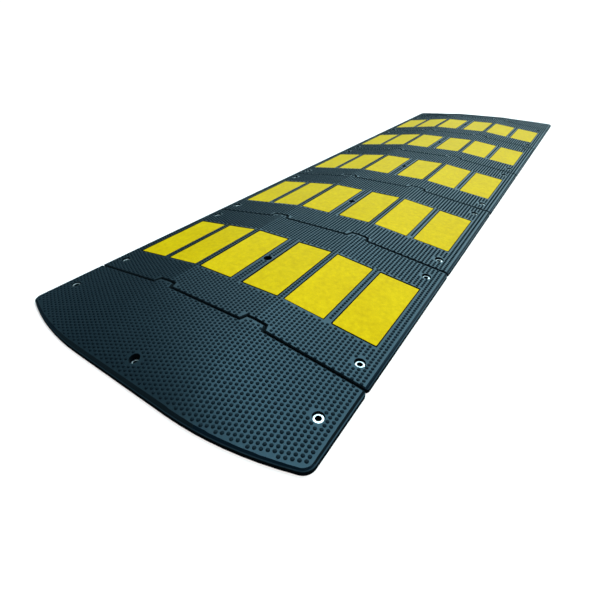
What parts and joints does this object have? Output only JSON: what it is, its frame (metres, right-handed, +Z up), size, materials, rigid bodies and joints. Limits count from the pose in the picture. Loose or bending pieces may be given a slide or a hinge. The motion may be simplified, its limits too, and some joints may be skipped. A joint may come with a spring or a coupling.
{
  "type": "rubber speed bump",
  "caption": "Long low rubber road hump of interlocking ramped sections with rounded ends, studded tread, yellow reflective films and washers in its bolt holes.",
  "frame": {"origin": "on the road surface at the centre of the underside", "axes": "+Z up, +Y along the bump from the near rounded end to the far one, across the road, and X along the direction of travel"},
  "size_m": [0.87, 3, 0.048],
  "materials": {
    "rubber": "matt vulcanised rubber with a faint sheen and small raised studs",
    "reflective_film": "satin yellow retroreflective film with a faint mottle",
    "zinc_steel": "bright zinc plate"
  },
  "bodies": {
    "root": {"near_end_section": "rubber", "middle_section_1": "rubber", "middle_section_2": "rubber", "middle_section_3": "rubber", "middle_section_4": "rubber", "middle_section_5": "rubber", "far_end_section": "rubber", "film_1_left_inner": "reflective_film", "film_1_left_middle": "reflective_film", "film_1_left_outer": "reflective_film", "film_1_right_inner": "reflective_film", "film_1_right_middle": "reflective_film", "film_1_right_outer": "reflective_film", "film_2_left_inner": "reflective_film", "film_2_left_middle": "reflective_film", "film_2_left_outer": "reflective_film", "film_2_right_inner": "reflective_film", "film_2_right_middle": "reflective_film", "film_2_right_outer": "reflective_film", "film_3_left_inner": "reflective_film", "film_3_left_middle": "reflective_film", "film_3_left_outer": "reflective_film", "film_3_right_inner": "reflective_film", "film_3_right_middle": "reflective_film", "film_3_right_outer": "reflective_film", "film_4_left_inner": "reflective_film", "film_4_left_middle": "reflective_film", "film_4_left_outer": "reflective_film", "film_4_right_inner": "reflective_film", "film_4_right_middle": "reflective_film", "film_4_right_outer": "reflective_film", "film_5_left_inner": "reflective_film", "film_5_left_middle": "reflective_film", "film_5_left_outer": "reflective_film", "film_5_right_inner": "reflective_film", "film_5_right_middle": "reflective_film", "film_5_right_outer": "reflective_film", "washer_1_left_near": "zinc_steel", "washer_1_left_far": "zinc_steel", "washer_1_right_near": "zinc_steel", "washer_1_right_far": "zinc_steel", "washer_2_left_near": "zinc_steel", "washer_2_left_far": "zinc_steel", "washer_2_right_near": "zinc_steel", "washer_2_right_far": "zinc_steel", "washer_3_left_near": "zinc_steel", "washer_3_left_far": "zinc_steel", "washer_3_right_near": "zinc_steel", "washer_3_right_far": "zinc_steel", "washer_4_left_near": "zinc_steel", "washer_4_left_far": "zinc_steel", "washer_4_right_near": "zinc_steel", "washer_4_right_far": "zinc_steel", "washer_5_left_near": "zinc_steel", "washer_5_left_far": "zinc_steel", "washer_5_right_near": "zinc_steel", "washer_5_right_far": "zinc_steel", "washer_near_end_left": "zinc_steel", "washer_near_end_centre": "zinc_steel", "washer_near_end_right": "zinc_steel"}
  },
  "joints": []
}
